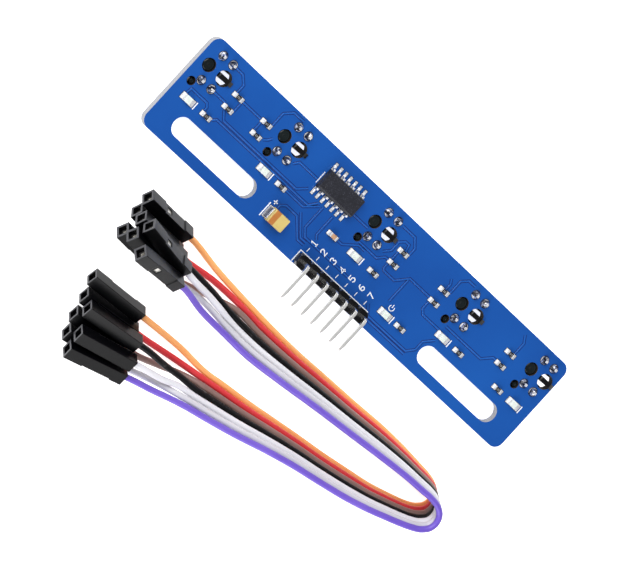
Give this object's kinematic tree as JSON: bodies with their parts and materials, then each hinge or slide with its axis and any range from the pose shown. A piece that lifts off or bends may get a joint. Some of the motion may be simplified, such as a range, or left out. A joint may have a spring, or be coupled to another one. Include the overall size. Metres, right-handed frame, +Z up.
{
  "type": "line sensor bar",
  "caption": "Reflective line sensor bar for a line-following robot: circuit board with downward sensors, slots, pin header and a ribbon jumper lead.",
  "frame": {"origin": "On the plane the sensor faces stand on, under the middle of the bar's box measured with its header pins and without the jumper lead.", "axes": "+X along the bar, +Y from the header towards the sensors, +Z up from the sensor faces towards the component side of the board"},
  "size_m": [0.095, 0.059, 0.0147],
  "materials": {
    "solder_mask": "satin solder mask over glass-fibre board",
    "black_moulding": "satin moulded",
    "clear_lens": "clear moulded resin",
    "dark_lens": "dark filtering resin, polished",
    "solder": "bright solder",
    "black_package": "matt moulded epoxy",
    "yellow_package": "satin moulded epoxy",
    "brown_ceramic": "matt ceramic",
    "white_lamp": "white moulding",
    "tinned_metal": "bright tin plate",
    "connector_black": "satin moulded",
    "contact_metal": "bright tin over brass",
    "insulation_orange": "smooth PVC",
    "insulation_red": "smooth PVC",
    "insulation_brown": "smooth PVC",
    "insulation_black": "smooth PVC",
    "insulation_white": "smooth PVC",
    "insulation_grey": "smooth PVC",
    "insulation_purple": "smooth PVC"
  },
  "bodies": {
    "board": {"circuit_board": "solder_mask", "sensor_housing_1": "black_moulding", "sensor_housing_2": "black_moulding", "sensor_housing_3": "black_moulding", "sensor_housing_4": "black_moulding", "sensor_housing_5": "black_moulding", "emitter_1": "clear_lens", "emitter_2": "clear_lens", "emitter_3": "clear_lens", "emitter_4": "clear_lens", "emitter_5": "clear_lens", "receiver_1": "dark_lens", "receiver_2": "dark_lens", "receiver_3": "dark_lens", "receiver_4": "dark_lens", "receiver_5": "dark_lens", "sensor_solder": "solder", "comparator_body": "black_package", "comparator_leads": "tinned_metal", "bulk_capacitor": "yellow_package", "bulk_capacitor_ends": "tinned_metal", "bypass_capacitor": "brown_ceramic", "bypass_capacitor_ends": "tinned_metal", "channel_lamp_1": "white_lamp", "channel_lamp_2": "white_lamp", "channel_lamp_3": "white_lamp", "channel_lamp_4": "white_lamp", "channel_lamp_5": "white_lamp", "power_lamp": "white_lamp", "lamp_ends": "tinned_metal", "resistor_bodies": "black_package", "resistor_ends": "tinned_metal", "header_strip": "black_moulding", "header_pins": "tinned_metal", "header_solder": "solder"},
    "jumper_lead": {"plug_a_orange": "connector_black", "plug_a_red": "connector_black", "plug_a_brown": "connector_black", "plug_a_black": "connector_black", "plug_a_white": "connector_black", "plug_a_grey": "connector_black", "plug_a_purple": "connector_black", "plug_b_orange": "connector_black", "plug_b_red": "connector_black", "plug_b_brown": "connector_black", "plug_b_black": "connector_black", "plug_b_white": "connector_black", "plug_b_grey": "connector_black", "plug_b_purple": "connector_black", "contacts_a": "contact_metal", "contacts_b": "contact_metal", "wire_orange": "insulation_orange", "wire_red": "insulation_red", "wire_brown": "insulation_brown", "wire_black": "insulation_black", "wire_white": "insulation_white", "wire_grey": "insulation_grey", "wire_purple": "insulation_purple"}
  },
  "joints": [
    {"name": "lead_lift", "type": "slide", "parent": "board", "child": "jumper_lead", "axis": [0, 0, 1], "range_m": [0, 0.06]}
  ]
}
